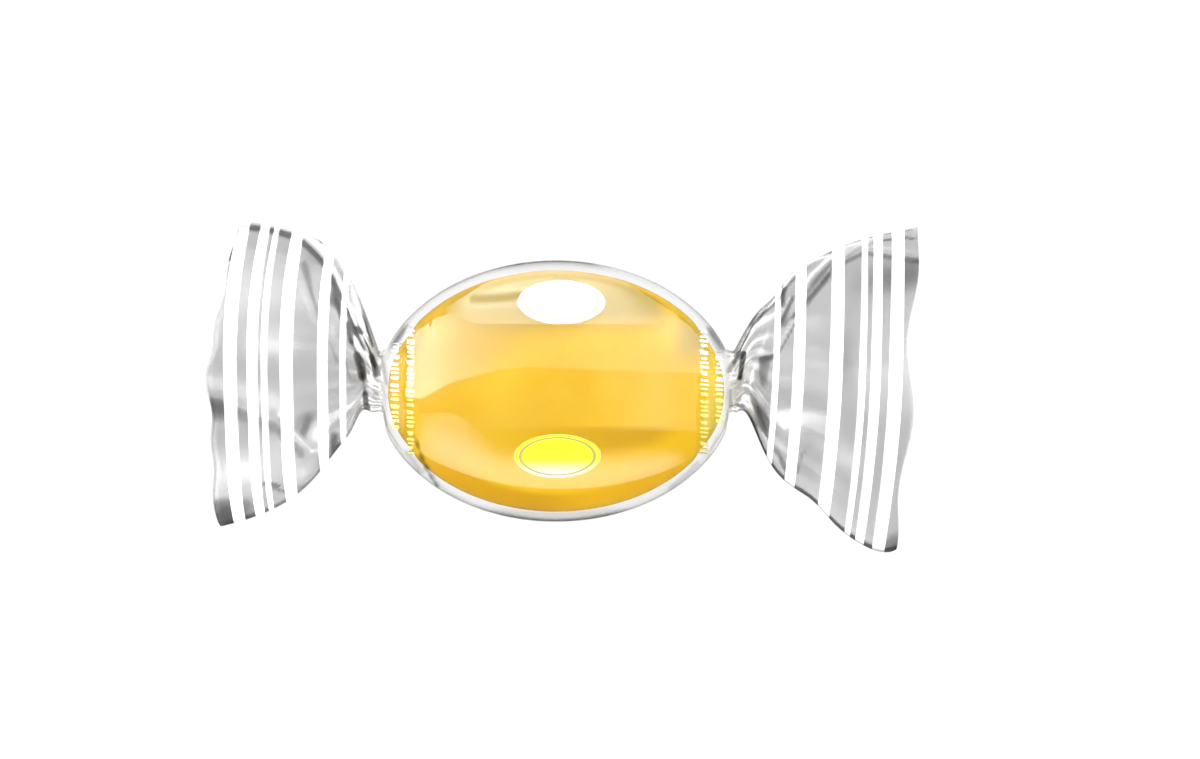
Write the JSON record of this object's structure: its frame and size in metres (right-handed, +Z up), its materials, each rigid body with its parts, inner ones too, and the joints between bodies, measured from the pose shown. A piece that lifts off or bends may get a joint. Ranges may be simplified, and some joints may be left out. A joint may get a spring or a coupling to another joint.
{
  "type": "wrapped hard candy",
  "caption": "Oval yellow boiled sweet in a clear film tube, twisted shut at both ends into pleated, white-striped fans.",
  "frame": {"origin": "on the table under the middle of the sweet, at the centre of the small flat the wrapped sweet rests on", "axes": "+X along the sweet and through both twists, +Y across the sweet, +Z up through its thickness"},
  "size_m": [0.0533, 0.0254, 0.0143],
  "materials": {
    "boiled_sugar": "smooth, glossy, cloudy amber-yellow boiled sugar",
    "clear_film": "clear, glossy twist film with white printed stripes and oval labels"
  },
  "bodies": {
    "root": {"candy": "boiled_sugar", "wrapper": "clear_film"}
  },
  "joints": []
}
